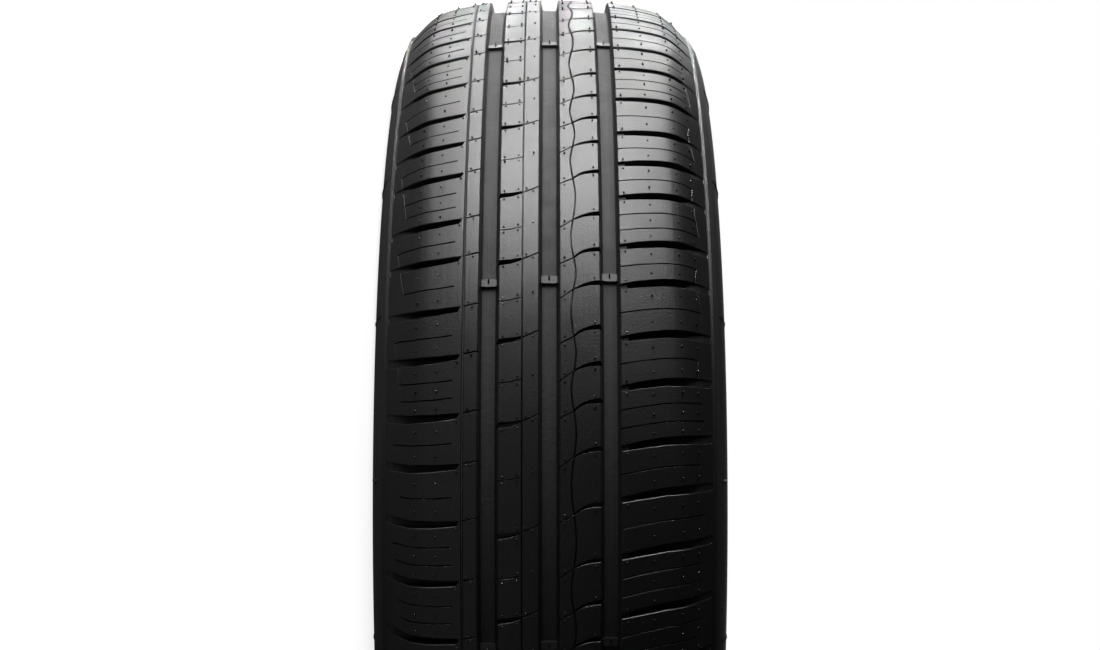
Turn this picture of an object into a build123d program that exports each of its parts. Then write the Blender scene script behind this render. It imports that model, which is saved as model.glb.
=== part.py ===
"""A passenger-car tyre, 185/65 R15, lying on its sidewall.

The tyre is one moulding. Its axis is Z, and its origin is the centre of the wheel that it fits. A hollow
section is revolved, and the tread pattern is cut into it: lateral grooves across both shoulders and tapered
notches in the two centre ribs. Each row of cuts is spaced by a pitch sequence, a string of short and long
pitches that runs once round the tyre and keeps it from humming at one note.
"""

import os

from build123d import *

# Overall sizes, in millimetres
overall_diameter = 621.5
section_width = 187.2
bead_seat_diameter = 380.2
bead_width = 139.7  # across the outer faces of the two beads

# Outer contour, from the crown to the bead: drops go down from the crown, insets in from the line before
crown_drop = 1.0  # of the crown, at the middle of the outer main grooves
shoulder_drop = 0.9  # of the shoulder, where it leaves the main groove
parting_inset = 7.1  # of the mould's parting line, where the sidewall starts, from the widest stretch
parting_drop = 24.3
tread_inset = 18.5  # of the tread's edge from the parting line
tread_drop = 7.6
flank_inset = 16.4  # of the widest stretch below the parting line
flank_height = 18.0
bead_height = 14.0  # of the bead's flat outer face above its seat
heel_chamfer = 5.0
bead_base = 17.8  # width of each bead, chamfer and seat

# Inner contour
crown_thickness = 14.7
liner_width = 100.0  # of the flat stretch under the tread
sidewall_thickness = 7.0

# Main grooves, which run round the tyre
groove_spacing = 31.5
groove_width = 10.6
groove_depth = 6.8

# Lateral grooves of the two shoulders
lateral_inner_width = 3.2
lateral_outer_width = 4.6
lateral_depth = 4.6  # at the main groove
lateral_end_gap = 2.0  # between a groove's outer end and the parting line
lateral_runout = 3.9  # of the floor's outer end above the parting line, over the tread's edge
closed_end_gap = 9.5  # between a lower groove's inner end and the main groove
upper_lateral_rise = 6.4  # how far a groove slants on its way out
lower_lateral_rise = -0.6

# Notches of the two centre ribs, from a mouth at a main groove to a point
notch_depth = 5.0
upper_notch_mouth = 2.7
upper_notch_length = 13.6
upper_notch_rise = -4.4
lower_notch_mouth = 3.0
lower_notch_length = 12.2
lower_notch_rise = 2.2

# Pitch sequences: shares of one turn, the string for each row and where it starts, in degrees
rib_share = {"S": 3.6, "M": 4.05, "L": 4.55, "X": 5.2}
lower_rib_pitches = (
    "XLLLSSLLMSMMMMXXMMSMLSMSLMXSMMSLSMSMLSXMSMLS"
    "MSSMLMSLMSXMSMLSSMSLMMXSMLSSMLSMSMLMSSLMSMSM"
)
lower_rib_start = 206.4
upper_rib_pitches = (
    "XLXXMSSMXMSLSSLXXMSSMLSSMLMSXSMSMLSSMSLMMSXS"
    "MLSMSSLMSMLSXMSLSMSMLSSMSLMSMXSMLSMSSMLSMSLM"
)
upper_rib_start = 203.0
shoulder_share = {"S": 4.28, "M": 4.83, "L": 5.36, "X": 5.7}
shoulder_pitches = (
    "LMXLSSXSLMXMLXXMSSLMSXMSLSMMSLMXSMSLS"
    "SMXLMSMLSXSMLMSSLXMSMLSMXLSSMXMLSLXM"
)
lower_shoulder_start = 208.7
upper_shoulder_start = 211.85

# How far a cutter reaches past the faces that it cuts
overlap = 2.0

# Places that follow from those sizes, as radii and as offsets from the middle plane
tyre_radius = overall_diameter / 2
seat_radius = bead_seat_diameter / 2
crown_radius = tyre_radius - crown_drop
shoulder_radius = tyre_radius - shoulder_drop
tread_radius = tyre_radius - tread_drop
parting_radius = tyre_radius - parting_drop
flank_radius = parting_radius - flank_inset
liner_radius = tyre_radius - crown_thickness
widest_offset = section_width / 2
parting_offset = widest_offset - parting_inset
tread_offset = parting_offset - tread_inset
heel_offset = bead_width / 2
groove_inner_edge = groove_spacing - groove_width / 2
groove_outer_edge = groove_spacing + groove_width / 2
lateral_end = parting_offset - lateral_end_gap
closed_end = -groove_outer_edge - closed_end_gap
main_grooves = (
    (-groove_spacing, crown_radius),
    (0, tyre_radius),
    (groove_spacing, crown_radius),
)


def spots(pitches, share, start):
    """Rotations about the axis that space one row of cuts by its pitch sequence."""
    turn = sum(share[pitch] for pitch in pitches)
    travelled = 0.0
    rotations = []
    for pitch in pitches:
        rotations.append(Location((0, 0, 0), (0, 0, start + 360 * travelled / turn)))
        travelled += share[pitch]
    return rotations


def lateral_plan(start, end, rise):
    """Plan of a lateral groove, as (round the tyre, along the axis), widening from its start to its end."""
    return Polygon(
        (lateral_inner_width / 2, start),
        (-lateral_inner_width / 2, start),
        (-lateral_outer_width / 2 - rise, end),
        (lateral_outer_width / 2 - rise, end),
        align=None,
    )


def lateral_room(side):
    """Section of what a lateral groove clears, over a floor that runs out past the tread's edge."""
    return Polygon(
        (shoulder_radius - lateral_depth, side * (groove_outer_edge - overlap)),
        (parting_radius + lateral_runout, side * lateral_end),
        (tyre_radius + overlap, side * lateral_end),
        (tyre_radius + overlap, side * (groove_outer_edge - overlap)),
        align=None,
    )


def notch_plan(side, mouth, length, rise):
    """Plan of a rib notch, from its mouth in the main groove to its point."""
    return Polygon(
        (mouth / 2, side * (groove_inner_edge + overlap)),
        (-mouth / 2, side * (groove_inner_edge + overlap)),
        (-rise, side * (groove_inner_edge - length)),
        align=None,
    )


# Cutter of an upper shoulder groove, which opens into the main groove beside it
with BuildPart() as upper_lateral:
    with BuildSketch(Plane.YZ.offset(parting_radius)):
        lateral_plan(groove_outer_edge - overlap, lateral_end, upper_lateral_rise)
    extrude(amount=parting_drop + overlap)
    with BuildSketch(Plane.XZ):
        lateral_room(1)
    extrude(amount=lateral_outer_width + abs(upper_lateral_rise), both=True, mode=Mode.INTERSECT)

# Cutter of a lower shoulder groove, closed at its inner end
with BuildPart() as lower_lateral:
    with BuildSketch(Plane.YZ.offset(parting_radius)):
        lateral_plan(closed_end, -lateral_end, lower_lateral_rise)
    extrude(amount=parting_drop + overlap)
    with BuildSketch(Plane.XZ):
        lateral_room(-1)
    extrude(amount=lateral_outer_width + abs(lower_lateral_rise), both=True, mode=Mode.INTERSECT)

# Cutters of the rib notches
with BuildPart() as upper_notch:
    with BuildSketch(Plane.YZ.offset(tyre_radius - notch_depth)):
        notch_plan(1, upper_notch_mouth, upper_notch_length, upper_notch_rise)
    extrude(amount=notch_depth + overlap)

with BuildPart() as lower_notch:
    with BuildSketch(Plane.YZ.offset(tyre_radius - notch_depth)):
        notch_plan(-1, lower_notch_mouth, lower_notch_length, lower_notch_rise)
    extrude(amount=notch_depth + overlap)

# The tyre: its section with the main grooves, revolved, less the rows of cuts
with BuildPart() as tyre:
    with BuildSketch(Plane.XZ):
        with BuildLine():
            # The runs that cuts cross are splines, on which a cut leaves plainer edges than on a cone
            middle = Line((tyre_radius, 0), (tyre_radius, groove_width / 2))
            crown = Spline(middle @ 1, (crown_radius, groove_spacing))
            join = Line(crown @ 1, (shoulder_radius, groove_outer_edge))
            shoulder = Spline(join @ 1, (tread_radius, tread_offset))
            edge = Spline(shoulder @ 1, (parting_radius, parting_offset))
            side = Polyline(
                edge @ 1,
                (flank_radius, widest_offset),
                (flank_radius - flank_height, widest_offset),
                (seat_radius + bead_height, heel_offset),
                (seat_radius + heel_chamfer, heel_offset),
                (seat_radius, heel_offset - heel_chamfer),
                (seat_radius, heel_offset - bead_base),
                (flank_radius - flank_height / 2, widest_offset - sidewall_thickness),
                (liner_radius, liner_width / 2),
            )
            mirror(about=Plane.XZ)
            Line(side @ 1, (liner_radius, -liner_width / 2))
        make_face()
        for offset, crest in main_grooves:
            with Locations((crest - groove_depth, offset)):
                Rectangle(
                    groove_depth + overlap,
                    groove_width,
                    align=(Align.MIN, Align.CENTER),
                    mode=Mode.SUBTRACT,
                )
    revolve(axis=Axis.Z)
    with Locations(*spots(shoulder_pitches, shoulder_share, upper_shoulder_start)):
        add(upper_lateral.part, mode=Mode.SUBTRACT)
    with Locations(*spots(shoulder_pitches, shoulder_share, lower_shoulder_start)):
        add(lower_lateral.part, mode=Mode.SUBTRACT)
    with Locations(*spots(upper_rib_pitches, rib_share, upper_rib_start)):
        add(upper_notch.part, mode=Mode.SUBTRACT)
    with Locations(*spots(lower_rib_pitches, rib_share, lower_rib_start)[::2]):
        add(lower_notch.part, mode=Mode.SUBTRACT)

tyre.part.label = "tyre"
os.makedirs("parts", exist_ok=True)
export_step(tyre.part, "parts/tyre.step")
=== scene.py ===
"""The car tyre dressed for rendering: its tread pattern, sidewalls, beads, liner and moulding marks.

Sizes are in millimetres and angles in degrees, as in the CAD source, and meshes are written in metres.
The tyre's axis is Z. An offset is measured along the axis from the middle plane, and a rise is measured
round the tread, against the direction of increasing angle.
"""

from math import asin, cos, degrees, pi, radians, sin, sqrt, tan
from random import Random

import bpy
import numpy as np
from mathutils import Matrix, Vector


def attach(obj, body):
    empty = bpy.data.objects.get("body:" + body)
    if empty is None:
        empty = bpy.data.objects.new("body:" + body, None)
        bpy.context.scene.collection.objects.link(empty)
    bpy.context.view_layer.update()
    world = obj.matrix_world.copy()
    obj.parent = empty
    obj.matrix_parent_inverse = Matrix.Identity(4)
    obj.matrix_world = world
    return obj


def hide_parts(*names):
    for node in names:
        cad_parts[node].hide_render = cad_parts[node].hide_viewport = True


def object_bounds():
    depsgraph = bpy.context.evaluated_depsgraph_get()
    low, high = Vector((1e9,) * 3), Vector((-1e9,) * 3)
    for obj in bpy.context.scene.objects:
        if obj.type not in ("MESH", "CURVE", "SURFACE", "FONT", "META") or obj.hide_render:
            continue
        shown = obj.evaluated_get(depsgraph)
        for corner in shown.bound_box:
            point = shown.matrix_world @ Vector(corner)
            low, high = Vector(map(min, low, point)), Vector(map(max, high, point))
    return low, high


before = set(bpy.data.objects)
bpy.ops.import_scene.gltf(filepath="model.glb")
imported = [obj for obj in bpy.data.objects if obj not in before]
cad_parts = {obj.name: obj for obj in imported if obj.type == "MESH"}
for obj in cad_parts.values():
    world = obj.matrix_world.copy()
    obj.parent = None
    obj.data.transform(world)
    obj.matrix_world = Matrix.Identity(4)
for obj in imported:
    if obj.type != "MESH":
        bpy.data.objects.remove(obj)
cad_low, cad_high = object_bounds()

METRES = 0.001

# Outer contour of the tread as (offset, radius), smooth where the CAD source has straight runs
TYRE_RADIUS = 310.75
CROWN_RADIUS = 500.0
CONTOUR = ((31.5, 309.76), (60.0, 304.95), (72.0, 300.15), (86.5, 286.45))
PARTING_SLOPE = 44.0  # of the contour at its outer end

# Ridge on the mould's parting line, as (height, place across, towards the tread)
RIDGE_OFFSET = 85.7
RIDGE_SECTION = ((0.0, 1.2), (0.1, 1.0), (0.95, -0.5), (0.95, -0.8), (0.4, -1.1), (0.0, -1.3))
RIDGE_UP = (0.72, 0.69)  # its height as a step in offset and in radius
SIDE_START = 286.4  # radius below which the rubber is that of the sidewall

# Sidewalls, round at the bulge
BULGE_CENTRE = (48.12, 262.05)
BULGE_RADIUS = 45.48
BULGE_START = 284.6
BULGE_END = 241.05
BULGE_STEPS = 15
UPPER_SWELL = 0.9  # how much further the upper sidewall bulges than the lower one

# Beads
HEEL_OFFSET = 69.85
SEAT_RADIUS = 190.1
HEEL_RADIUS = 5.0
HEEL_STEPS = 7
TOE_OFFSET = 52.05
TOE = (TOE_OFFSET, SEAT_RADIUS + 0.9)

# Sidewall from the bulge to the heel, as (distance from the middle plane, radius), with two moulded rings
SIDEWALL = (
    (86.4, 236.8), (84.0, 232.0), (81.6, 227.4),
    (81.1, 226.4), (81.5, 225.9), (81.0, 224.9), (80.2, 224.7), (79.4, 223.8),
    (77.2, 219.2), (75.2, 214.8), (73.4, 210.6),
    (73.1, 209.9), (73.2, 209.4), (72.6, 208.6), (71.4, 207.2), (70.4, 205.6),
    (HEEL_OFFSET, 203.5), (HEEL_OFFSET, 199.5),
)
SEAT = (
    (60.5, SEAT_RADIUS), (56.0, SEAT_RADIUS), (TOE_OFFSET + 0.8, SEAT_RADIUS),
    (TOE_OFFSET + 0.2, SEAT_RADIUS + 0.25), TOE,
)

# Half of the liner, from the toe to the middle plane
LINER = (
    TOE, (53.0, 193.5), (57.2, 202.5), (63.8, 216.0), (71.8, 232.0), (79.0, 245.0), (84.2, 255.5),
    (86.4, 262.5), (85.6, 268.5), (81.0, 275.0), (73.0, 282.0), (63.0, 288.8), (52.0, 293.8),
    (38.0, 295.7), (20.0, 296.0),
)
LINER_MIDDLE = 296.05

# Main grooves: the offsets of their edges, and the section of their walls
LOWER_GROOVE = (-36.8, -26.2)
MIDDLE_GROOVE = (-5.5, 5.5)
UPPER_GROOVE = (26.4, 36.8)
GROOVE_DEPTH = 6.8
GROOVE_EDGE = 0.35
WALL_LEAN = 1.2
FLOOR_FILLET = 0.6
FLOOR_OVERLAP = 0.5  # how far a floor runs under the walls

# Floors of the main grooves, as (offset of the middle, half width, angle of a wear bar)
GROOVE_FLOORS = ((-31.5, 5.3, 250.9), (0.0, 5.5, 250.6), (31.5, 5.25, 250.3))
FLOOR_SHARES = (-1.0, -0.85, -0.65, -0.3, 0.3, 0.65, 0.85, 1.0)  # lines of a floor, across half its width
FLOORS_END = 40.0  # offset beyond which only the fine groove has a floor

# Wear bars: sets of three, one in each main groove
BAR_SETS = 10
BAR_LENGTH = 4.6
BAR_END_LENGTH = 0.86 * BAR_LENGTH
BAR_FULL_SHARE = 0.65  # share of the floor's width over which a bar has its full length
BAR_HEIGHT = 1.9
BAR_EDGE = 0.25
BAR_START = 0.3  # height above the floor from which the rubber is that of a bar

# Fine groove beside the lower shoulder
FINE_DEPTH = 1.1
FINE_RIB_DEPTH = 0.3  # of the low rib along its middle

# Cuts across the bands: corners on one line, the lean of their walls, bevelled edges and widths of sipes
CUT_CORNERS = 6
CUT_LEAN = 0.06  # share of the depth
CUT_LEAN_LIMIT = 0.25  # share of the half width
SHOULDER_EDGE = 0.3
NOTCH_EDGE = 0.15
NARROW_EDGE = 0.1
SIPE_EDGE = 0.04
SHOULDER_SIPE = 0.7
NARROW_SIPE = 0.75
RIB_SIPE = 0.6
DEEP_START = 0.9  # depth from which the rubber is that of a groove's inside

# Middle lines of the cuts: the rise at each of some offsets
LOWER_PATH = ((-84.6, -71.5, -59.0, -46.3), (0.8, -1.2, -1.0, 0.0))
UPPER_PATH = ((36.8, 46.5, 59.7, 71.0, 84.6), (0.0, 2.1, 4.2, 5.0, 5.9))
NARROW_PATH = ((-43.8, -36.8), (1.5, 3.1))
LOWER_RIB_PATH = ((-26.2, -20.0, -14.0, -10.0, -5.5), (0.0, 0.7, 2.2, 3.9, 6.3))
UPPER_RIB_PATH = (
    (5.5, 9.0, 12.6, 14.0, 15.5, 17.0, 18.5, 20.5, 22.5, 24.5, 26.4),
    (-9.45, -7.0, -4.7, -3.65, -2.7, -1.95, -1.4, -0.85, -0.45, -0.2, 0.0),
)
GROOVE_END_SLANT = 1.35  # extra rise of a lower shoulder groove's inner end

# Sipes of a shoulder block, as shares of its pitch: one in most blocks, two in the longest
LOWER_SIPES = ((0.535,), (0.39, 0.69))
UPPER_SIPES = ((0.51,), (0.365, 0.675))

# Shallow bracket lines across pairs of shoulder blocks, and the lines beside them that swing along
BRACKET_OFFSET = 78.5
BRACKET_SWING = 2.0
BRACKET_DEPTH = 0.24
BRACKET_RADIUS = 295.0
BRACKET_SLACK = 0.05  # added to each end of a line, in degrees
LOWER_BRACKET_RISE = -0.3
UPPER_BRACKET_RISE = 5.4
BRACKET_LINES = (
    (71.5, 0.2), (74.2, 0.6), (76.4, 0.9), (78.15, 1.0), (BRACKET_OFFSET, 1.0), (78.85, 1.0),
    (80.6, 0.9), (82.6, 0.6), (84.4, 0.0),
)

# Slits along the centre ribs, the upper one waving
STRAIGHT_SLIT = -14.0
STRAIGHT_SLIT_WIDTH = 0.7
WAVING_SLIT = 12.5
WAVING_SLIT_WIDTH = 0.8
RIB_SLIT_DEPTH = 4.5
SLIT_BEVEL = 0.1
SLIT_LEAN = 0.03
WAVE_HEIGHT = 1.25
WAVE_RISE = -4.7  # of a cut where it crosses the waving slit

# Pitch sequences, as in the CAD source
RIB_SHARE = {"S": 3.6, "M": 4.05, "L": 4.55, "X": 5.2}
LOWER_RIB_PITCHES = (
    "XLLLSSLLMSMMMMXXMMSMLSMSLMXSMMSLSMSMLSXMSMLS"
    "MSSMLMSLMSXMSMLSSMSLMMXSMLSSMLSMSMLMSSLMSMSM"
)
LOWER_RIB_START = 206.4
UPPER_RIB_PITCHES = (
    "XLXXMSSMXMSLSSLXXMSSMLSSMLMSXSMSMLSSMSLMMSXS"
    "MLSMSSLMSMLSXMSLSMSMLSSMSLMSMXSMLSMSSMLSMSLM"
)
UPPER_RIB_START = 203.0
SHOULDER_SHARE = {"S": 4.28, "M": 4.83, "L": 5.36, "X": 5.7}
SHOULDER_PITCHES = (
    "LMXLSSXSLMXMLXXMSSLMSXMSLSMMSLMXSMSLS"
    "SMXLMSMLSXSMLMSSLXMSMLSMXLSSMXMLSLXM"
)
LOWER_SHOULDER_START = 208.7
UPPER_SHOULDER_START = 211.85

# Vent threads: their section as shares of the height, width and lean, and their places
VENT_SEED = 5
VENT_SIDES = 8
VENT_SECTION = ((-0.3, 1.0, 0.0), (0.3, 1.0, 0.35), (0.75, 0.78, 0.85), (1.0, 0.35, 1.0))
VENT_HEIGHTS = (0.5, 0.6, 0.8, 1.0, 1.4)
VENT_WIDTHS = (1.0, 1.25)
VENT_LEAN_ROUND = 0.25  # shares of the height
VENT_LEAN_ALONG = 0.2
LOWER_BLOCK_VENTS = (-58.0, -69.0)
UPPER_BLOCK_VENTS = (53.5, 68.5, 77.0)
LOWER_GROOVE_VENTS = ((-2.9, -47.4), (3.6, -42.0), (0.7, -40.0))  # (rise from a groove, offset)
UPPER_GROOVE_VENTS = ((3.8, 39.7), (-2.6, 39.7))
LOWER_RIB_VENTS = (-24.0, -16.5)
NOTCH_CLEARANCE = 2.7
SIPE_CLEARANCE = 1.8
BEYOND_SLIT_VENTS = ((1.7, -12.0), (-1.8, -8.5))  # (rise from a notch's sipe, offset)
BETWEEN_NOTCHES_VENT = -8.5
UPPER_RIB_VENTS = ((8.0, 2.2), (23.5, 2.9))  # (offset, clearance from a cut)
BAR_VENT_TURN = 0.12  # from the middle of a wear bar
BAR_VENT_HEIGHT = 1.5
BAR_VENT_WIDTH = 1.0
BAR_VENT_LEAN = -2.2

# Thin radial flash lines on the sidewalls, where the segments of the mould meet
FLASH_COUNT = 20
FLASH_ANGLE = 252.6
FLASH_START = 282.5
FLASH_END = 258.0
FLASH_STEPS = 9
FLASH_HALF_WIDTH = 0.55
FLASH_HEIGHT = 0.55
FLASH_SINK = 0.1

# Angles between faces from which an edge is shaded sharp
SHARP = 32.0
SIDE_SHARP = 24.0
VENT_SHARP = 50.0

dice = Random(VENT_SEED)


def spots(pitches, share, start):
    """Angles that space one row of cuts by its pitch sequence."""
    turn = sum(share[pitch] for pitch in pitches)
    travelled = 0.0
    angles = []
    for pitch in pitches:
        angles.append(start + 360 * travelled / turn)
        travelled += share[pitch]
    return angles


def clamped_spline(points, first_slope, last_slope):
    """Slopes at the points of a smooth cubic curve whose end slopes are given."""
    count = len(points)
    matrix = np.eye(count)
    right = np.zeros(count)
    right[0] = first_slope
    right[-1] = last_slope
    for i in range(1, count - 1):
        before = points[i][0] - points[i - 1][0]
        after = points[i + 1][0] - points[i][0]
        matrix[i, i - 1 : i + 2] = 1 / before, 2 / before + 2 / after, 1 / after
        right[i] = 3 * (points[i][1] - points[i - 1][1]) / before**2
        right[i] += 3 * (points[i + 1][1] - points[i][1]) / after**2
    return np.linalg.solve(matrix, right)


CROWN_END = CONTOUR[0][0]
CONTOUR_SLOPES = clamped_spline(
    CONTOUR,
    -CROWN_END / sqrt(CROWN_RADIUS**2 - CROWN_END**2),
    -tan(radians(PARTING_SLOPE)),
)


def tread_at(offset):
    """Radius of the tread's surface at an offset from the middle plane."""
    out = abs(offset)
    if out <= CROWN_END:
        return TYRE_RADIUS - CROWN_RADIUS + sqrt(CROWN_RADIUS**2 - out**2)
    i = 0
    while i < len(CONTOUR) - 2 and out > CONTOUR[i + 1][0]:
        i += 1
    run = CONTOUR[i + 1][0] - CONTOUR[i][0]
    t = (out - CONTOUR[i][0]) / run
    start, end = CONTOUR[i][1], CONTOUR[i + 1][1]
    leave, arrive = CONTOUR_SLOPES[i] * run, CONTOUR_SLOPES[i + 1] * run
    blend = 3 * t**2 - 2 * t**3
    return start + (end - start) * blend + leave * (t - 2 * t**2 + t**3) + arrive * (t**3 - t**2)


def bulge_at(radius, side):
    """Distance of a sidewall's bulge from the middle plane, a little more on the upper side."""
    swell = UPPER_SWELL if side > 0 else 0.0
    return BULGE_CENTRE[0] + swell + sqrt(BULGE_RADIUS**2 - (radius - BULGE_CENTRE[1]) ** 2)


def rise_at(path, offset):
    """Rise of a cut's middle line at an offset."""
    return float(np.interp(offset, *path))


def ring(offset, depth=0.0, sway=0.0):
    """One line round the tread: its offset, its depth and how far it follows its band's waving line.

    The depth is a number, or a function of the angle.
    """
    return {"offset": offset, "radius": None, "depth": depth, "sway": sway}


def line(offset, radius):
    """One line round a sidewall, a bead or the liner, at a radius of its own."""
    return {"offset": offset, "radius": radius, "depth": 0.0, "sway": 0.0}


def swung(one_line, sway, angle):
    """Offset of a line at an angle, where it may follow its band's waving line."""
    if sway and one_line["sway"]:
        return one_line["offset"] + one_line["sway"] * sway(angle)
    return one_line["offset"]


def cut(angle, path, offsets, width, depth, edge):
    """One cut across a band along a path, or a raised bar if its depth is below zero.

    Its width and depth are given at the listed offsets, and it is closed outside them.
    """
    return {
        "angle": angle,
        "offsets": offsets,
        "rise": [rise_at(path, offset) for offset in offsets],
        "width": width,
        "depth": depth,
        "edge": edge,
    }


def cut_slots(one, one_line, offset, radius):
    """Angles and depths of a cut's corners on one line, or its angle alone where it is closed.

    A cut is closed on the lines of a sidewall or bead, which have a radius of their own.
    """
    turn = degrees(1 / radius)
    middle = one["angle"] - float(np.interp(offset, one["offsets"], one["rise"])) * turn
    first, last = one["offsets"][0], one["offsets"][-1]
    ring_offset = one_line["offset"]
    if one_line["radius"] or not first <= ring_offset <= last:
        return [middle], [0.0]
    width = float(np.interp(ring_offset, one["offsets"], one["width"]))
    if width <= 0:
        return [middle], [0.0]
    depth = float(np.interp(ring_offset, one["offsets"], one["depth"]))
    half = width / 2
    edge = one["edge"]
    lean = min(CUT_LEAN_LIMIT * half, CUT_LEAN * abs(depth))
    sides = np.array([-half - edge, -half, lean - half, half - lean, half, half + edge])
    edge_depth = edge if depth > 0 else 0.0
    depths = [0.0, edge_depth, depth, depth, edge_depth, 0.0]
    return list(middle + sides * turn), depths


def place(angle, radius, offset):
    """A point in metres."""
    a = radians(angle)
    return (radius * cos(a) * METRES, radius * sin(a) * METRES, offset * METRES)


def band(lines, cuts, steps, sway=None):
    """Points and faces of a band that runs round the tyre.

    The lines follow each other along the section, so that the outside is on the right. Each cut crosses
    them, and the land from one cut to the next is divided into steps.
    """
    points = []
    rows = []
    cuts = sorted(cuts, key=lambda one: one["angle"])
    for one_line in lines:
        spans = []
        for one in cuts:
            offset = swung(one_line, sway, one["angle"])
            surface = one_line["radius"] or tread_at(offset)
            spans.append(cut_slots(one, one_line, offset, surface))
        row = []
        for k, (angles, depths) in enumerate(spans):
            after = spans[(k + 1) % len(spans)][0][0]
            if k == len(spans) - 1:
                after += 360
            land = np.linspace(angles[-1], after, steps + 1)[1:-1]
            slots = list(zip(angles, depths)) + [(angle, 0.0) for angle in land]
            for j, (angle, depth) in enumerate(slots):
                offset = swung(one_line, sway, angle)
                surface = one_line["radius"] or tread_at(offset)
                own = one_line["depth"](angle) if callable(one_line["depth"]) else one_line["depth"]
                radius = surface - own - depth if depth < 0 else surface - max(own, depth)
                points.append(place(angle, radius, offset))
                row.append(len(points) - 1)
                if len(angles) == 1 and j == 0:
                    row += [len(points) - 1] * (CUT_CORNERS - 1)
        rows.append(row)
    faces = []
    for near, far in zip(rows, rows[1:]):
        count = len(near)
        for i in range(count):
            j = (i + 1) % count
            corners = [near[i], near[j], far[j], far[i]]
            corners = [c for n, c in enumerate(corners) if c != corners[n - 1]]
            if len(set(corners)) > 2:
                faces.append(corners)
    return points, faces


def add_piece(name, parts, materials, pick=None, sharp=SHARP):
    """One smooth-shaded object of the tyre, made of several sets of points and faces.

    Where it has several materials, the radius and offset of a face's middle pick one by its number.
    """
    points = []
    faces = []
    for some_points, some_faces in parts:
        start = len(points)
        points += some_points
        faces += [[start + corner for corner in face] for face in some_faces]
    mesh = bpy.data.meshes.new(name)
    mesh.from_pydata(points, [], faces)
    mesh.update()
    mesh.shade_smooth()
    mesh.set_sharp_from_angle(angle=radians(sharp))
    for material in materials:
        mesh.materials.append(material)
    if pick:
        for face in mesh.polygons:
            x, y, z = face.center / METRES
            face.material_index = pick(sqrt(x * x + y * y), z)
    piece = bpy.data.objects.new(name, mesh)
    bpy.context.scene.collection.objects.link(piece)
    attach(piece, "root")
    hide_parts("tyre")


def node(tree, kind, **values):
    """A shader node with some of its properties and input values set."""
    made = tree.nodes.new(kind)
    for key, value in values.items():
        if key in made.inputs:
            made.inputs[key].default_value = value
        else:
            setattr(made, key, value)
    return made


def combine(tree, operation, first, second):
    """Output of a new node that combines two values by an operation."""
    made = node(tree, "ShaderNodeMath", operation=operation)
    tree.links.new(first, made.inputs[0])
    tree.links.new(second, made.inputs[1])
    return made.outputs[0]


def glowing(tree, grey, strength=1.0):
    """A matt shader that also glows: the node of its glow, and the output of both."""
    matt = node(tree, "ShaderNodeBsdfDiffuse", Color=(grey, grey, grey, 1.0))
    glow = node(tree, "ShaderNodeEmission", Strength=strength)
    both = node(tree, "ShaderNodeAddShader")
    tree.links.new(matt.outputs[0], both.inputs[0])
    tree.links.new(glow.outputs[0], both.inputs[1])
    return glow, both.outputs[0]


def ramp(tree, value, start, end, low=0.0, high=1.0):
    """Output of a new node that goes from low to high as a value passes from start to end."""
    made = node(tree, "ShaderNodeMapRange")
    made.inputs["From Min"].default_value = start
    made.inputs["From Max"].default_value = end
    made.inputs["To Min"].default_value = low
    made.inputs["To Max"].default_value = high
    tree.links.new(value, made.inputs["Value"])
    return made.outputs["Result"]


def axis(tree, vector, letter):
    """Output of a new node that gives one coordinate of a vector."""
    split = node(tree, "ShaderNodeSeparateXYZ")
    tree.links.new(vector, split.inputs["Vector"])
    return split.outputs[letter]


# Rubber: the spacing of the mould's rings along the axis, and the heights of rings and grain, in metres
RING_SCALE = 420.0
RING_HEIGHT = 0.0006
GRAIN_HEIGHT = 0.0004


def rubber(name, dark, light, rough, grain, rings, shine, blotches=28.0, pores=900.0):
    """Moulded rubber: blotched in colour and gloss, with a fine grain and faint rings from the mould."""
    material = bpy.data.materials.new(name)
    material.use_nodes = True
    tree = material.node_tree
    shader = tree.nodes["Principled BSDF"]
    where = node(tree, "ShaderNodeTexCoord").outputs["Object"]
    blotch = node(tree, "ShaderNodeTexNoise", Scale=blotches, Detail=5.0, Roughness=0.6)
    speck = node(tree, "ShaderNodeTexNoise", Scale=pores, Detail=3.0, Roughness=0.65)
    turned = node(tree, "ShaderNodeTexNoise", noise_dimensions="1D", Scale=1.0, Detail=4.0)
    colour = node(tree, "ShaderNodeMix", data_type="RGBA")
    colour.inputs[6].default_value = (*dark, 1.0)
    colour.inputs[7].default_value = (*light, 1.0)
    along = node(tree, "ShaderNodeMath", operation="MULTIPLY")
    along.inputs[1].default_value = RING_SCALE
    ring_bump = node(tree, "ShaderNodeBump", Strength=rings, Distance=RING_HEIGHT)
    grain_bump = node(tree, "ShaderNodeBump", Strength=grain, Distance=GRAIN_HEIGHT)
    link = tree.links.new
    link(where, blotch.inputs["Vector"])
    link(where, speck.inputs["Vector"])
    link(axis(tree, where, "Z"), along.inputs[0])
    link(along.outputs[0], turned.inputs["W"])
    link(blotch.outputs["Fac"], colour.inputs[0])
    link(colour.outputs[2], shader.inputs["Base Color"])
    link(ramp(tree, blotch.outputs["Fac"], 0.0, 1.0, *rough), shader.inputs["Roughness"])
    link(turned.outputs["Fac"], ring_bump.inputs["Height"])
    link(speck.outputs["Fac"], grain_bump.inputs["Height"])
    link(ring_bump.outputs["Normal"], grain_bump.inputs["Normal"])
    link(grain_bump.outputs["Normal"], shader.inputs["Normal"])
    shader.inputs["Specular IOR Level"].default_value = shine
    return material


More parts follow.
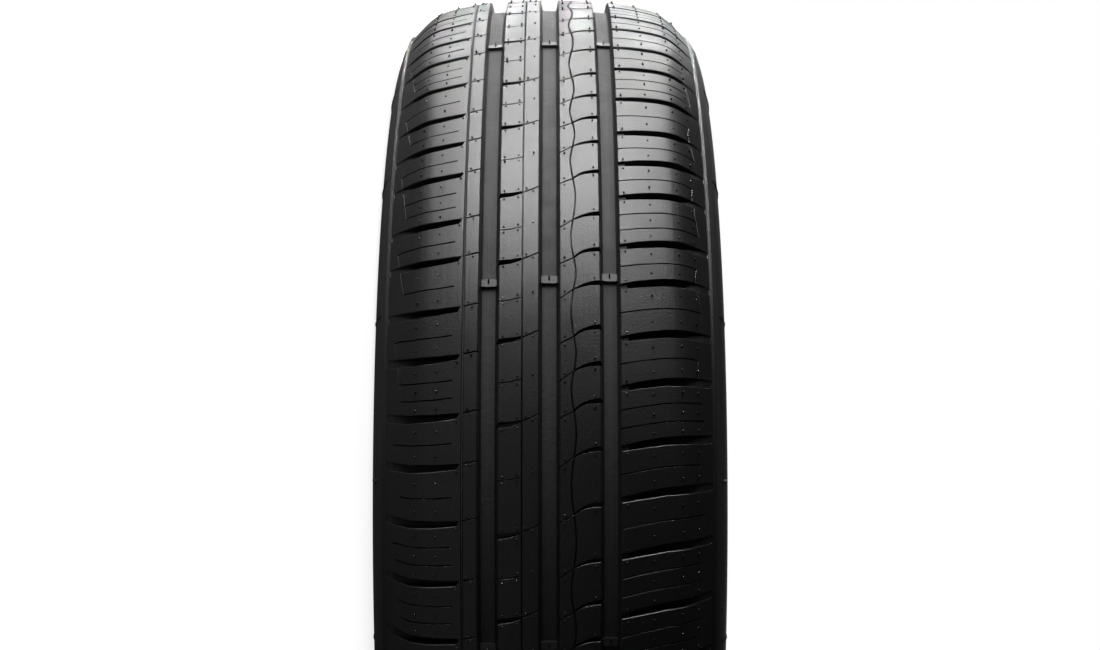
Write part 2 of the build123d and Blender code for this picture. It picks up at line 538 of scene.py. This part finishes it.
tread_rubber = rubber(
    "tread_rubber",
    dark=(0.006, 0.006, 0.0063),
    light=(0.01, 0.01, 0.0104),
    rough=(0.3, 0.4),
    grain=0.34,
    rings=0.1,
    shine=0.7,
)
deep_rubber = rubber(
    "deep_rubber",
    dark=(0.008, 0.008, 0.0083),
    light=(0.012, 0.012, 0.0124),
    rough=(0.5, 0.6),
    grain=0.2,
    rings=0.0,
    shine=0.4,
)
groove_rubber = rubber(
    "groove_rubber",
    dark=(0.009, 0.009, 0.0093),
    light=(0.026, 0.026, 0.0265),
    rough=(0.5, 0.85),
    grain=0.6,
    rings=0.4,
    shine=0.55,
    blotches=110.0,
    pores=320.0,
)
bar_rubber = rubber(
    "bar_rubber",
    dark=(0.02, 0.02, 0.0204),
    light=(0.028, 0.028, 0.0285),
    rough=(0.34, 0.44),
    grain=0.2,
    rings=0.0,
    shine=0.8,
)
side_rubber = rubber(
    "side_rubber",
    dark=(0.015, 0.015, 0.0154),
    light=(0.022, 0.022, 0.0225),
    rough=(0.44, 0.56),
    grain=0.2,
    rings=0.0,
    shine=0.5,
)
liner_rubber = rubber(
    "liner_rubber",
    dark=(0.02, 0.02, 0.0205),
    light=(0.034, 0.034, 0.0345),
    rough=(0.4, 0.6),
    grain=0.3,
    rings=0.0,
    shine=0.5,
)
vent_rubber = rubber(
    "vent_rubber",
    dark=(0.004, 0.004, 0.0042),
    light=(0.006, 0.006, 0.0062),
    rough=(0.22, 0.3),
    grain=0.1,
    rings=0.0,
    shine=0.9,
)

# Rows of cuts round the tyre
lower_angles = spots(SHOULDER_PITCHES, SHOULDER_SHARE, LOWER_SHOULDER_START)
upper_angles = spots(SHOULDER_PITCHES, SHOULDER_SHARE, UPPER_SHOULDER_START)
lower_rib_angles = spots(LOWER_RIB_PITCHES, RIB_SHARE, LOWER_RIB_START)
upper_rib_angles = spots(UPPER_RIB_PITCHES, RIB_SHARE, UPPER_RIB_START)


def sub_blocks(angles, sipes):
    """Cuts of one shoulder as (angle, is it a groove, pitch number): each groove and its block's sipes."""
    single, double = sipes
    rows = []
    for k, angle in enumerate(angles):
        after = angles[(k + 1) % len(angles)]
        pitch = (after - angle) % 360
        rows.append((angle, True, k))
        for share in double if SHOULDER_PITCHES[k] == "X" else single:
            rows.append((angle + share * pitch, False, k))
    return rows


def brackets(rows):
    """Pairs of angles that the bracket lines across block pairs run between, first sipe to last."""
    pairs = []
    for k in range(1, len(SHOULDER_PITCHES) - 1, 2):
        sipes = [angle for angle, groove, pitch in rows if not groove and pitch in (k, k + 1)]
        pairs.append((min(sipes), max(sipes)))
    return pairs


def bracket_sway(pairs):
    """Offset of the bracket line from its middle, all the way round."""
    angles = []
    swings = []
    for first, last in pairs:
        angles += [first, last]
        swings += [-BRACKET_SWING, BRACKET_SWING]
    return lambda angle: float(np.interp(angle, angles, swings, period=360))


def bracket_depth(pairs, rise):
    """Depth of the bracket line at an angle, where its ends have risen with their sipes."""
    turn = degrees(1 / BRACKET_RADIUS)

    def depth(angle):
        for first, last in pairs:
            low = first - rise * turn - BRACKET_SLACK
            high = last - rise * turn + BRACKET_SLACK
            if (angle - low) % 360 + low <= high:
                return BRACKET_DEPTH
        return 0.0

    return depth


def lower_groove(angle):
    """A lower shoulder groove, closed at its inner end by a slanted wall."""
    offsets = [-84.4, -82.6, -78.0, -74.2, -71.5, -69.0, -66.0, -59.0, -53.0, -47.6, -45.8]
    width = [3.2, 4.2, 4.2, 4.2, 4.1, 4.0, 3.9, 3.5, 3.1, 2.7, 0.0]
    depth = [0.35, 0.6, 1.4, 2.8, 4.0, 5.2, 6.4, 6.8, 6.4, 5.6, 3.0]
    made = cut(angle, LOWER_PATH, offsets, width, depth, SHOULDER_EDGE)
    made["rise"][-1] += GROOVE_END_SLANT
    return made


def lower_sipe(angle):
    """A thin slit across a lower shoulder block."""
    offsets = [-78.5, -71.5, -59.0, -49.8]
    depth = [1.2, 3.5, 4.0, 4.0]
    return cut(angle, LOWER_PATH, offsets, [SHOULDER_SIPE] * 4, depth, SIPE_EDGE)


def upper_groove(angle):
    """An upper shoulder groove, with a raised bridge where it leaves the main groove."""
    offsets = [36.0, 40.6, 41.4, 46.5, 53.0, 59.7, 66.0, 69.0, 71.5, 74.2, 78.0, 82.6, 84.4]
    width = [2.9, 3.1, 3.1, 3.6, 3.9, 4.0, 4.2, 4.3, 4.3, 4.3, 4.3, 4.2, 3.2]
    depth = [1.6, 1.6, 5.4, 6.0, 6.5, 6.8, 6.4, 5.2, 4.0, 2.8, 1.4, 0.6, 0.35]
    return cut(angle, UPPER_PATH, offsets, width, depth, SHOULDER_EDGE)


def upper_sipe(angle):
    """A thin slit across an upper shoulder block."""
    offsets = [36.0, 46.5, 59.7, 71.0, 78.5]
    depth = [3.0, 4.0, 4.0, 3.5, 1.2]
    return cut(angle, UPPER_PATH, offsets, [SHOULDER_SIPE] * 5, depth, SIPE_EDGE)


def wall_up(offset, side):
    """Lines of a main groove's wall, from its floor to the rib's top. The groove is on the given side."""
    return [
        ring(offset + side * (WALL_LEAN + FLOOR_FILLET), GROOVE_DEPTH),
        ring(offset + side * WALL_LEAN, GROOVE_DEPTH - FLOOR_FILLET),
        ring(offset, GROOVE_EDGE),
        ring(offset - side * GROOVE_EDGE),
    ]


def bracket_lines(side, bracket):
    """Lines of a shoulder's outer edge, from the tread outwards, which swing with the bracket lines."""
    lines = []
    for out, sway in BRACKET_LINES:
        lines.append(ring(side * out, bracket if out == BRACKET_OFFSET else 0.0, sway))
    return lines


def side_lines(side):
    """Lines of one sidewall and bead, from the parting ridge to the toe."""
    lines = []
    crest = tread_at(RIDGE_OFFSET)
    along, up = RIDGE_UP
    for height, across in RIDGE_SECTION:
        lines.append((RIDGE_OFFSET - up * across + along * height, crest + along * across + up * height))
    start = degrees(asin((BULGE_START - BULGE_CENTRE[1]) / BULGE_RADIUS))
    end = degrees(asin((BULGE_END - BULGE_CENTRE[1]) / BULGE_RADIUS))
    for turn in np.linspace(start, end, BULGE_STEPS):
        radius = BULGE_CENTRE[1] + BULGE_RADIUS * sin(radians(turn))
        lines.append((bulge_at(radius, side), radius))
    lines += SIDEWALL
    for turn in np.linspace(0.0, 90.0, HEEL_STEPS):
        across = HEEL_OFFSET - HEEL_RADIUS + HEEL_RADIUS * cos(radians(turn))
        lines.append((across, SEAT_RADIUS + HEEL_RADIUS - HEEL_RADIUS * sin(radians(turn))))
    lines += SEAT
    return [line(side * across, radius) for across, radius in lines]


# Lower sidewall and shoulder, from the toe of the bead to the fine groove
lower_rows = sub_blocks(lower_angles, LOWER_SIPES)
lower_brackets = brackets(lower_rows)
lower_lines = side_lines(-1)[::-1]
lower_lines += bracket_lines(-1, bracket_depth(lower_brackets, LOWER_BRACKET_RISE))[::-1]
lower_lines += [ring(offset) for offset in (-69.0, -66.0, -63.5, -61.0, -59.0, -56.0, -53.0, -51.0)]
lower_lines += [ring(offset) for offset in (-49.8, -49.4, -47.6, -46.7, -45.8, -45.25)]
lower_lines += [ring(-45.1, 0.15), ring(-45.0, FINE_DEPTH)]
lower_cuts = [lower_groove(angle) if groove else lower_sipe(angle) for angle, groove, _ in lower_rows]
lower_side = band(lower_lines, lower_cuts, steps=2, sway=bracket_sway(lower_brackets))

# Upper shoulder and sidewall, from the main groove to the toe of the bead
upper_rows = sub_blocks(upper_angles, UPPER_SIPES)
upper_brackets = brackets(upper_rows)
upper_lines = wall_up(UPPER_GROOVE[1], -1)
upper_lines += [ring(offset) for offset in (39.0, 40.6, 41.4, 44.0, 46.5, 49.5, 53.0, 56.0, 59.7, 62.0)]
upper_lines += [ring(offset) for offset in (64.0, 66.0, 69.0)]
upper_lines += bracket_lines(1, bracket_depth(upper_brackets, UPPER_BRACKET_RISE))
upper_lines += side_lines(1)
upper_cuts = [upper_groove(angle) if groove else upper_sipe(angle) for angle, groove, _ in upper_rows]
upper_side = band(upper_lines, upper_cuts, steps=2, sway=bracket_sway(upper_brackets))


def slit(offset, width, depth, sway=0.0):
    """Lines of a thin slit that runs round a rib."""
    half = width / 2
    return [
        ring(offset - half - SLIT_BEVEL, 0.0, sway),
        ring(offset - half, SLIT_BEVEL, sway),
        ring(offset - half + SLIT_LEAN, depth, sway),
        ring(offset + half - SLIT_LEAN, depth, sway),
        ring(offset + half, SLIT_BEVEL, sway),
        ring(offset + half + SLIT_BEVEL, 0.0, sway),
    ]


# Narrow rib beside the fine groove, with a sipe at the end of each lower shoulder groove
narrow_lines = [ring(-43.95, FINE_DEPTH), ring(-43.85, 0.15), ring(-43.7)]
narrow_lines += [ring(offset) for offset in (-42.0, -40.0, -38.2)]
narrow_lines += wall_up(LOWER_GROOVE[0], 1)[::-1]
narrow_cuts = [
    cut(angle, NARROW_PATH, [-44.0, -36.0], width=[NARROW_SIPE] * 2, depth=[2.4, 3.2], edge=NARROW_EDGE)
    for angle in lower_angles
]
narrow_rib = band(narrow_lines, narrow_cuts, steps=5)


def lower_rib_cut(k, angle):
    """A notch that goes on as a sipe, or a short sipe in the places between."""
    if k % 2 == 0:
        offsets = [-27.0, -20.0, -14.6, -14.2, -10.0, -5.0]
        width = [3.0, 2.4, 1.5, 0.65, RIB_SIPE, RIB_SIPE]
        depth = [5.0, 5.0, 4.6, 4.5, 4.0, 4.0]
        return cut(angle, LOWER_RIB_PATH, offsets, width, depth, NOTCH_EDGE)
    offsets = [-27.0, -20.0, -13.8]
    depth = [4.0, 4.0, 4.0]
    return cut(angle, LOWER_RIB_PATH, offsets, [RIB_SIPE] * 3, depth, SIPE_EDGE)


# Lower centre rib: notches and sipes up to a straight slit, then sipes beyond every other one
lower_rib_lines = wall_up(LOWER_GROOVE[1], -1)
lower_rib_lines += [ring(offset) for offset in (-24.0, -22.0, -20.0, -18.0, -16.0, -14.8)]
lower_rib_lines += slit(STRAIGHT_SLIT, STRAIGHT_SLIT_WIDTH, RIB_SLIT_DEPTH)
lower_rib_lines += [ring(offset) for offset in (-13.0, -11.5, -10.0, -8.5, -7.0)]
lower_rib_lines += wall_up(MIDDLE_GROOVE[0], 1)[::-1]
lower_rib_cuts = [lower_rib_cut(k, angle) for k, angle in enumerate(lower_rib_angles)]
lower_rib = band(lower_rib_lines, lower_rib_cuts, steps=4)

crossings = [angle - WAVE_RISE * degrees(1 / TYRE_RADIUS) for angle in upper_rib_angles]


def wave(angle):
    """Offset of the waving slit from its middle line, which it crosses at each cut."""
    around = (angle - crossings[0]) % 360 + crossings[0]
    k = int(np.searchsorted(crossings, around, "right")) - 1
    start = crossings[k]
    end = crossings[k + 1] if k + 1 < len(crossings) else crossings[0] + 360
    t = (around - start) / (end - start)
    return WAVE_HEIGHT * sin(pi * t) * (1 if k % 2 == 0 else -1)


def upper_rib_cut(angle):
    """A sipe that widens into a notch beyond the waving slit."""
    offsets = [5.0, 8.8, 12.2, 12.9, 15.0, 16.8, 18.5, 20.5, 22.5, 24.5, 27.0]
    width = [RIB_SIPE, RIB_SIPE, 0.65, 1.0, 1.3, 1.5, 1.75, 2.0, 2.25, 2.5, 2.7]
    depth = [4.0, 4.0, 4.0, 4.5, 4.7, 4.8, 5.0, 5.0, 5.0, 5.0, 5.0]
    return cut(angle, UPPER_RIB_PATH, offsets, width, depth, NOTCH_EDGE)


# Upper centre rib: a waving slit, crossed at each pitch by a sipe that widens into a notch
upper_rib_lines = wall_up(MIDDLE_GROOVE[1], -1)
upper_rib_lines += [ring(7.2), ring(8.8, 0.0, 0.3), ring(10.4, 0.0, 0.7), ring(11.5, 0.0, 0.95)]
upper_rib_lines += slit(WAVING_SLIT, WAVING_SLIT_WIDTH, RIB_SLIT_DEPTH, 1.0)
upper_rib_lines += [ring(13.6, 0.0, 0.95), ring(15.0, 0.0, 0.7), ring(16.8, 0.0, 0.3)]
upper_rib_lines += [ring(offset) for offset in (18.5, 20.5, 22.5, 24.5)]
upper_rib_lines += wall_up(UPPER_GROOVE[0], 1)[::-1]
upper_rib_cuts = [upper_rib_cut(angle) for angle in upper_rib_angles]
upper_rib = band(upper_rib_lines, upper_rib_cuts, steps=6, sway=wave)

# Bands without cuts are still divided by some, which lie off the tyre and so stay closed
STRAIGHT_PATH = ((0.0,), (0.0,))
OFF_THE_TYRE = [900.0, 901.0]
PLAIN_COUNT = 18
plain = [
    cut(360 * k / PLAIN_COUNT, STRAIGHT_PATH, OFF_THE_TYRE, width=[1.0] * 2, depth=[0.0] * 2, edge=0.0)
    for k in range(PLAIN_COUNT)
]

# Floors of the main grooves with their wear bars, and the floor of the fine groove
floors = []
for middle, half, bar_angle in GROOVE_FLOORS:
    reach = half - WALL_LEAN - FLOOR_FILLET
    end = reach + FLOOR_OVERLAP
    across = [-end, *[share * reach for share in FLOOR_SHARES], end]
    floor_lines = [ring(middle + offset, GROOVE_DEPTH) for offset in across]
    full = BAR_FULL_SHARE * reach
    bar_offsets = [middle - end, middle - full, middle + full, middle + end]
    lengths = [BAR_END_LENGTH, BAR_LENGTH, BAR_LENGTH, BAR_END_LENGTH]
    bars = []
    for k in range(BAR_SETS):
        angle = bar_angle + 360 * k / BAR_SETS
        bars.append(cut(angle, STRAIGHT_PATH, bar_offsets, lengths, [-BAR_HEIGHT] * 4, BAR_EDGE))
    floors.append(band(floor_lines, bars, steps=30))
fine_floor = [
    ring(-45.02, FINE_DEPTH),
    ring(-44.75, FINE_DEPTH),
    ring(-44.68, FINE_RIB_DEPTH),
    ring(-44.27, FINE_RIB_DEPTH),
    ring(-44.2, FINE_DEPTH),
    ring(-43.93, FINE_DEPTH),
]
floors.append(band(fine_floor, plain, steps=12))

# Liner, from the upper toe round the inside to the lower toe
liner_lines = [line(across, radius) for across, radius in LINER]
liner_lines += [line(0.0, LINER_MIDDLE)]
liner_lines += [line(-across, radius) for across, radius in LINER[::-1]]
liner = band(liner_lines, plain, steps=12)


def vent(angle, offset, height, width, lean=None):
    """A rubber thread left by a vent hole of the mould: a short leaning stub with a domed end."""
    radius = tread_at(offset)
    if lean is None:
        lean = dice.uniform(-VENT_LEAN_ROUND, VENT_LEAN_ROUND) * height
    lean_along = dice.uniform(-VENT_LEAN_ALONG, VENT_LEAN_ALONG) * height
    turn = degrees(1 / radius)
    points = []
    for up, share, shift in VENT_SECTION:
        out = width / 2 * share
        for k in range(VENT_SIDES):
            a = 2 * pi * k / VENT_SIDES
            around = out * cos(a) + lean * shift
            along = out * sin(a) + lean_along * shift
            points.append(place(angle + around * turn, radius + up * height, offset + along))
    top = len(points) - VENT_SIDES
    faces = []
    for base in range(0, top, VENT_SIDES):
        for k in range(VENT_SIDES):
            j = (k + 1) % VENT_SIDES
            faces.append([base + k, base + j, base + VENT_SIDES + j, base + VENT_SIDES + k])
    faces.append(list(range(top, top + VENT_SIDES)))
    return points, faces


def vent_at(angle, rise, offset):
    """A vent thread at a rise from an angle, of a height and width that vary from one to the next."""
    turn = degrees(1 / tread_at(offset))
    height = dice.choice(VENT_HEIGHTS)
    return vent(angle - rise * turn, offset, height, dice.uniform(*VENT_WIDTHS))


def vent_pair(angle, path, offset, clearance):
    """Two vent threads, one on either side of a cut."""
    rise = rise_at(path, offset)
    return [vent_at(angle, rise + clearance, offset), vent_at(angle, rise - clearance, offset)]


# Vent threads: on the shoulder blocks, beside the shoulder grooves and on the two centre ribs
vents = []
for rows, path, offsets in (
    (lower_rows, LOWER_PATH, LOWER_BLOCK_VENTS),
    (upper_rows, UPPER_PATH, UPPER_BLOCK_VENTS),
):
    starts = [row[0] for row in rows]
    for start, after in zip(starts, starts[1:] + starts[:1]):
        middle = start + ((after - start) % 360) / 2
        for offset in offsets:
            vents.append(vent_at(middle, rise_at(path, offset), offset))
for angles, places in ((lower_angles, LOWER_GROOVE_VENTS), (upper_angles, UPPER_GROOVE_VENTS)):
    for angle in angles:
        for rise, offset in places:
            vents.append(vent_at(angle, rise, offset))
for k, angle in enumerate(lower_rib_angles):
    for offset in LOWER_RIB_VENTS:
        vents += vent_pair(angle, LOWER_RIB_PATH, offset, SIPE_CLEARANCE if k % 2 else NOTCH_CLEARANCE)
    if k % 2 == 0:
        for rise, offset in BEYOND_SLIT_VENTS:
            vents.append(vent_at(angle, rise_at(LOWER_RIB_PATH, offset) + rise, offset))
        after = lower_rib_angles[(k + 1) % len(lower_rib_angles)]
        vents.append(vent_at(after, rise_at(LOWER_RIB_PATH, BETWEEN_NOTCHES_VENT), BETWEEN_NOTCHES_VENT))
for angle in upper_rib_angles:
    for offset, clearance in UPPER_RIB_VENTS:
        vents += vent_pair(angle, UPPER_RIB_PATH, offset, clearance)

# Vent threads on the wear bars, lowered from the tread to the bars
drop = (GROOVE_DEPTH - BAR_HEIGHT) * METRES
for middle, _, bar_angle in GROOVE_FLOORS:
    for k in range(BAR_SETS):
        angle = bar_angle + 360 * k / BAR_SETS + BAR_VENT_TURN
        points, faces = vent(angle, middle, BAR_VENT_HEIGHT, BAR_VENT_WIDTH, BAR_VENT_LEAN)
        lowered = []
        for x, y, z in points:
            share = 1 - drop / sqrt(x * x + y * y)
            lowered.append((x * share, y * share, z))
        vents.append((lowered, faces))

# Flash lines
flash = []
for side in (-1, 1):
    widest = bulge_at(BULGE_CENTRE[1], side)
    for k in range(FLASH_COUNT):
        angle = FLASH_ANGLE + 360 * k / FLASH_COUNT
        points = []
        for row, radius in enumerate(np.linspace(FLASH_START, FLASH_END, FLASH_STEPS)):
            across = bulge_at(radius, side)
            half_turn = FLASH_HALF_WIDTH * degrees(1 / radius)
            height = 0.0 if row in (0, FLASH_STEPS - 1) else FLASH_HEIGHT
            points.append(place(angle - half_turn, radius, side * (across - FLASH_SINK)))
            points.append(place(angle, radius, side * min(across + height, widest)))
            points.append(place(angle + half_turn, radius, side * (across - FLASH_SINK)))
        faces = []
        for row in range(FLASH_STEPS - 1):
            for column in (0, 1):
                a = 3 * row + column
                face = [a, a + 1, a + 4, a + 3]
                faces.append(face if side > 0 else face[::-1])
        flash.append((points, faces))


def shoulder_part(radius, offset):
    """0 for a shoulder's tread, 1 for the parting ridge, sidewall and bead, 2 for the inside of a groove."""
    if radius < SIDE_START:
        return 1
    return 2 if tread_at(offset) - radius > DEEP_START else 0


def floor_part(radius, offset):
    """0 for the floor of a groove, 1 for a wear bar above it."""
    raised = tread_at(offset) - radius < GROOVE_DEPTH - BAR_START
    return 1 if abs(offset) < FLOORS_END and raised else 0


# The pieces of the tyre
shoulder_rubbers = [tread_rubber, side_rubber, deep_rubber]
add_piece("lower_side", [lower_side], shoulder_rubbers, shoulder_part, SIDE_SHARP)
add_piece("centre_ribs", [narrow_rib, lower_rib, upper_rib], [tread_rubber])
add_piece("upper_side", [upper_side], shoulder_rubbers, shoulder_part, SIDE_SHARP)
add_piece("groove_floors", floors, [groove_rubber, bar_rubber], floor_part)
add_piece("inner_liner", [liner], [liner_rubber])
add_piece("vent_threads", vents, [vent_rubber], sharp=VENT_SHARP)
add_piece("mould_flash", flash, [tread_rubber])


def show_background(tree, behind, background, lighting, output):
    """Show a background to the camera, and to reflections and glass where it is behind the tyre.

    All other rays meet the shader that lights the tyre.
    """
    seen = node(tree, "ShaderNodeLightPath").outputs
    shiny = combine(tree, "MAXIMUM", seen["Is Glossy Ray"], seen["Is Transmission Ray"])
    shown = combine(tree, "MAXIMUM", seen["Is Camera Ray"], combine(tree, "MULTIPLY", shiny, behind))
    choose = node(tree, "ShaderNodeMixShader")
    tree.links.new(shown, choose.inputs[0])
    tree.links.new(lighting, choose.inputs[1])
    tree.links.new(background, choose.inputs[2])
    tree.links.new(choose.outputs[0], output.inputs["Surface"])


# Floor that the tyre lies on, in metres. The camera sees it glow, a little less near the tyre: painted shade
# there, under which the tyre's real shadow shows.
# The rays that light the tyre meet a darker floor, which glows faintly and so lights the tyre though it is
# no lamp.
FLOOR_REACH = 30.0
FLOOR_CORNERS = ((-1, -1), (1, -1), (1, 1), (-1, 1))
FLOOR_GREY = 0.5
FLOOR_FADE = (0.35, 1.2)  # distance from the tyre's centre over which the glow rises
FLOOR_GLOW = (0.84, 1.0)
FLOOR_BEHIND = (0.4, 1.0)  # Y over which the floor comes to be behind the tyre
# Floor for the rays that light the tyre: its glow lights the tyre though the floor is no lamp
DARK_FLOOR_GREY = 0.25
DARK_FLOOR_GLOW = 0.035

floor_mesh = bpy.data.meshes.new("floor")
corners = [(x * FLOOR_REACH, y * FLOOR_REACH, cad_low[2]) for x, y in FLOOR_CORNERS]
floor_mesh.from_pydata(corners, [], [(0, 1, 2, 3)])
floor = bpy.data.objects.new("floor", floor_mesh)
bpy.context.scene.collection.objects.link(floor)
paper = bpy.data.materials.new("paper")
paper.use_nodes = True
tree = paper.node_tree
tree.nodes.clear()
spot = node(tree, "ShaderNodeNewGeometry").outputs["Position"]
reach = node(tree, "ShaderNodeVectorMath", operation="LENGTH")
tree.links.new(spot, reach.inputs[0])
glow, pale_floor = glowing(tree, FLOOR_GREY)
# The camera's glow dims towards the tyre: painted shade round it
fade = ramp(tree, reach.outputs["Value"], *FLOOR_FADE, *FLOOR_GLOW)
tree.links.new(fade, glow.inputs["Strength"])
show_background(
    tree,
    behind=ramp(tree, axis(tree, spot, "Y"), *FLOOR_BEHIND),
    background=pale_floor,
    lighting=glowing(tree, DARK_FLOOR_GREY, DARK_FLOOR_GLOW)[1],
    output=node(tree, "ShaderNodeOutputMaterial"),
)
floor_mesh.materials.append(paper)
floor.visible_shadow = False

# Room: white to the camera and dim to the tyre, with a low white backdrop behind the tyre for reflections
WHITE = (1.0, 1.0, 1.0, 1.0)
ROOM_LIGHT = 0.02
BACKDROP_SIDES = (0.35, 0.85)  # Y of a direction, from beside the backdrop to within it
BACKDROP_TOP = (0.42, 0.28)  # Z of a direction, from above the backdrop to within it

world = bpy.data.worlds.new("studio")
bpy.context.scene.world = world
world.use_nodes = True
tree = world.node_tree
tree.nodes.clear()
heading = node(tree, "ShaderNodeTexCoord").outputs["Generated"]
within_sides = ramp(tree, axis(tree, heading, "Y"), *BACKDROP_SIDES)
below_top = ramp(tree, axis(tree, heading, "Z"), *BACKDROP_TOP)
show_background(
    tree,
    behind=combine(tree, "MULTIPLY", within_sides, below_top),
    background=node(tree, "ShaderNodeBackground", Color=WHITE, Strength=1.0).outputs[0],
    lighting=node(tree, "ShaderNodeBackground", Color=WHITE, Strength=ROOM_LIGHT).outputs[0],
    output=node(tree, "ShaderNodeOutputWorld"),
)


def soft_box(name, at, aim, width, height, power, spread=180):
    """A rectangular area light that the camera doesn't see, in metres, watts and degrees of spread."""
    lamp = bpy.data.lights.new(name, "AREA")
    lamp.shape = "RECTANGLE"
    lamp.size = width
    lamp.size_y = height
    lamp.energy = power
    lamp.spread = radians(spread)
    made = bpy.data.objects.new(name, lamp)
    made.location = at
    made.rotation_mode = "QUATERNION"
    made.rotation_quaternion = (Vector(aim) - Vector(at)).to_track_quat("-Z", "Y")
    made.visible_camera = False
    lamp.cycles.use_multiple_importance_sampling = False
    bpy.context.scene.collection.objects.link(made)


# Studio light: an arc of soft boxes over the tread, as (turn from the camera's side, width, power), one more
# behind the tyre and a narrow one above its far half
ARC = ((50, 0.5, 12.5), (65, 0.55, 25.0), (82, 0.6, 23.0), (102, 0.6, 20.0), (128, 0.7, 14.0))
ARC_RADIUS = 2.0
ARC_LIFT = 0.1
ARC_HEIGHT = 1.6
for turn, width, power in ARC:
    a = radians(turn)
    at = (-ARC_RADIUS * sin(a), -ARC_RADIUS * cos(a), ARC_LIFT)
    soft_box("key", at, (0.0, 0.0, ARC_LIFT), width, ARC_HEIGHT, power)
soft_box("fill", at=(1.75, 1.0, 0.3), aim=(0.0, 0.0, 0.0), width=1.2, height=1.4, power=25.0)
soft_box("top", at=(0.1, 0.62, 1.3), aim=(0.1, 0.62, 0.0), width=0.7, height=0.7, power=8.0, spread=28)

# Camera, turned a quarter so that the tyre stands upright in the picture
FOCAL_PIXELS = 1964.0
PICTURE_WIDTH = 1100.0
SENSOR_WIDTH = 36.0
CAMERA_DISTANCE = 1.308
CAMERA_TILT = radians(4.36)
CAMERA_LIFT = 0.00035
camera_data = bpy.data.cameras.new("camera")
camera_data.sensor_fit = "HORIZONTAL"
camera_data.sensor_width = SENSOR_WIDTH
camera_data.lens = FOCAL_PIXELS / PICTURE_WIDTH * SENSOR_WIDTH
camera = bpy.data.objects.new("camera", camera_data)
bpy.context.scene.collection.objects.link(camera)
right = Vector((0.0, 0.0, 1.0))
up = Vector((-cos(CAMERA_TILT), -sin(CAMERA_TILT), 0.0))
back = right.cross(up)
turned = Matrix((right, up, back)).transposed().to_4x4()
camera.matrix_world = Matrix.Translation((0.0, -CAMERA_DISTANCE, CAMERA_LIFT)) @ turned
bpy.context.scene.camera = camera
bpy.context.scene.view_settings.view_transform = "Standard"
